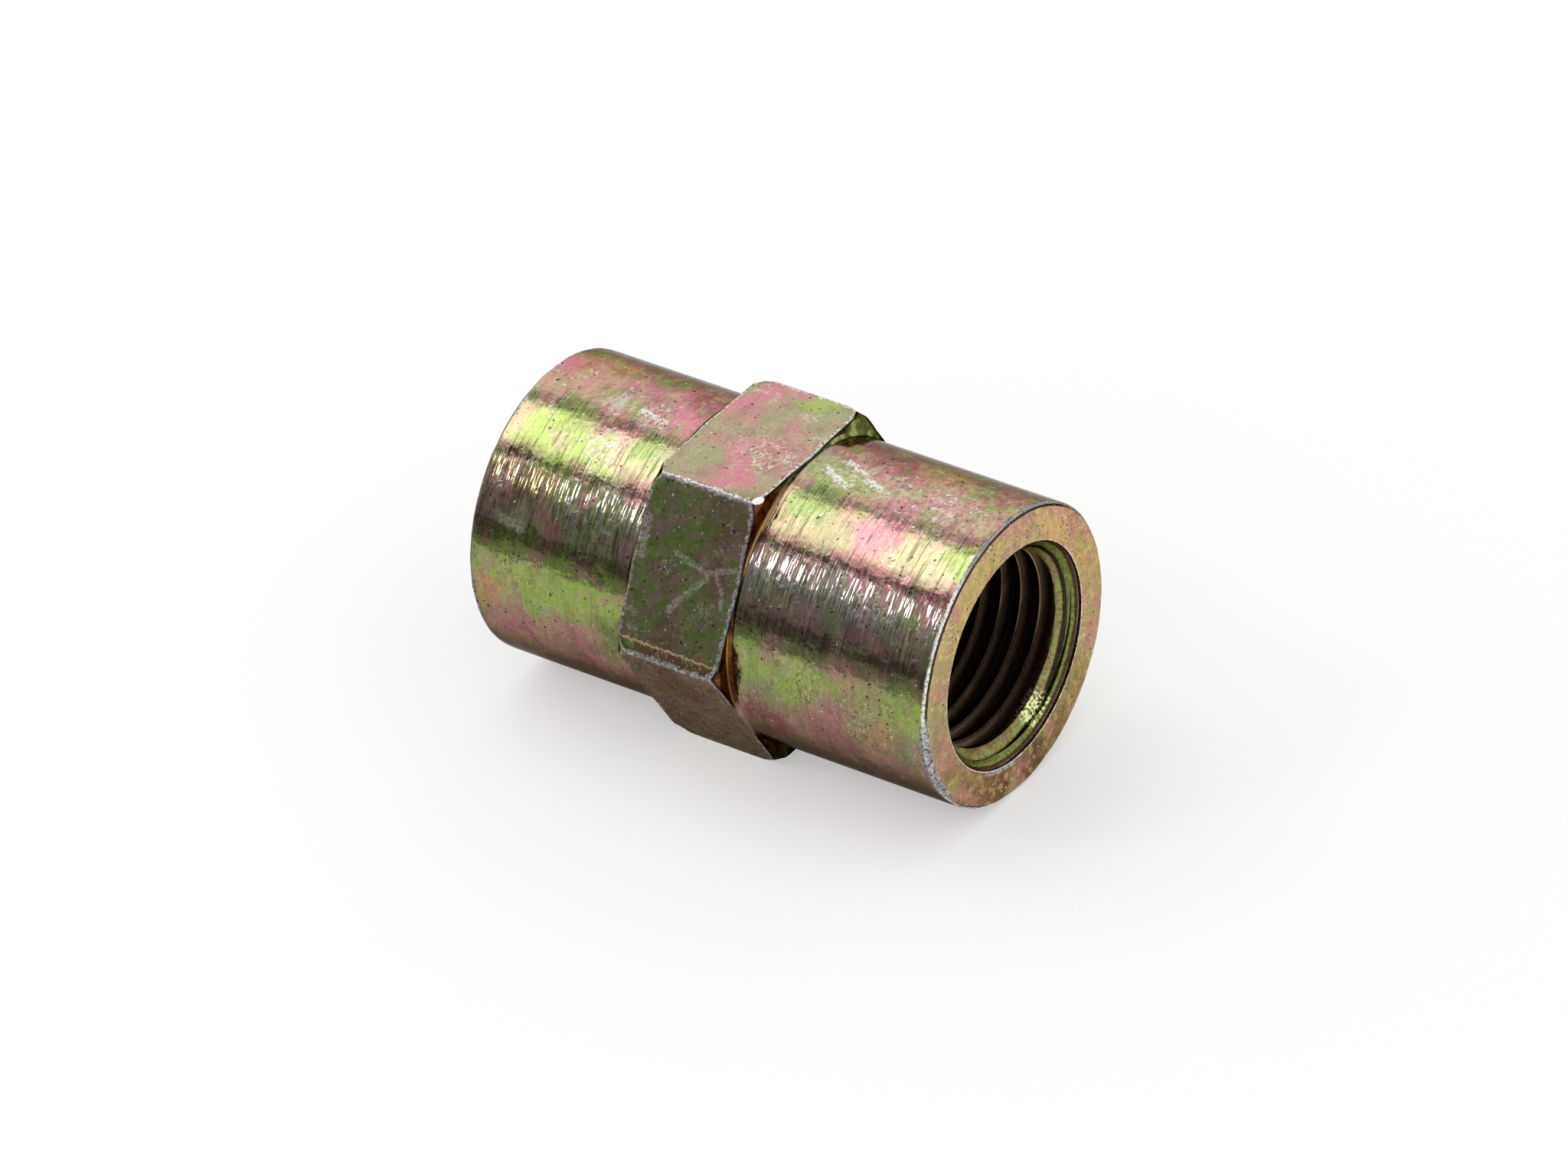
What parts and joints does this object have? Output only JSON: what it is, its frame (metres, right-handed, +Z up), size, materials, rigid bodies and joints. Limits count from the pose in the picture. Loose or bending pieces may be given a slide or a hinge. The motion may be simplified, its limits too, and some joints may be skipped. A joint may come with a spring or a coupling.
{
  "type": "brake pipe union",
  "caption": "Short steel connector turned from hexagon bar, with a round barrel on each side of the hexagon and a threaded pipe port in each end.",
  "frame": {"origin": "on the surface that the union lies on, under the middle of its box: z = 0 is the bottom flat of the hexagon", "axes": "+X along the bore axis out of the longer barrel, the end in view in the picture; +Z up, square to the hexagon's top flat; +Y completes the right-handed frame"},
  "size_m": [0.0242, 0.0162, 0.014],
  "materials": {
    "plated_steel": "yellow passivated zinc with pink and green tints, turned and worn"
  },
  "bodies": {
    "root": {"union_body": "plated_steel"}
  },
  "joints": []
}
